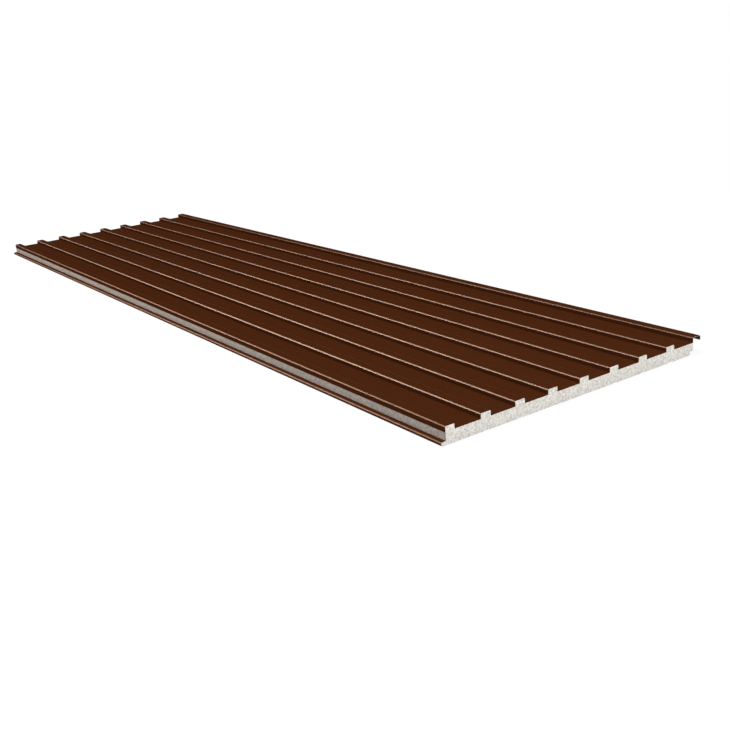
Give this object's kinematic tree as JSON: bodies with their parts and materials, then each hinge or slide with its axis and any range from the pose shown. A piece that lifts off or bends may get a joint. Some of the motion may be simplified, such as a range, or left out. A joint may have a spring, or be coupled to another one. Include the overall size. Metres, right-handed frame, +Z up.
{
  "type": "insulated sandwich panel",
  "caption": "Ribbed roof and wall panel of two coated steel facings on a rigid foam core, with a hollow lap rib on one side and a tongue and rebate along the lower edges.",
  "frame": {"origin": "under the middle of the panel, on the level of its underside", "axes": "+X along the ribs, +Y across the panel towards the hollow lap rib, +Z up from the underside to the ribs"},
  "size_m": [3.825, 1.0488, 0.0552],
  "materials": {
    "outer_coating": "satin",
    "inner_coating": "satin",
    "rigid_foam": "matte"
  },
  "bodies": {
    "root": {"outer_sheet": "outer_coating", "foam_core": "rigid_foam", "inner_sheet": "inner_coating"}
  },
  "joints": []
}
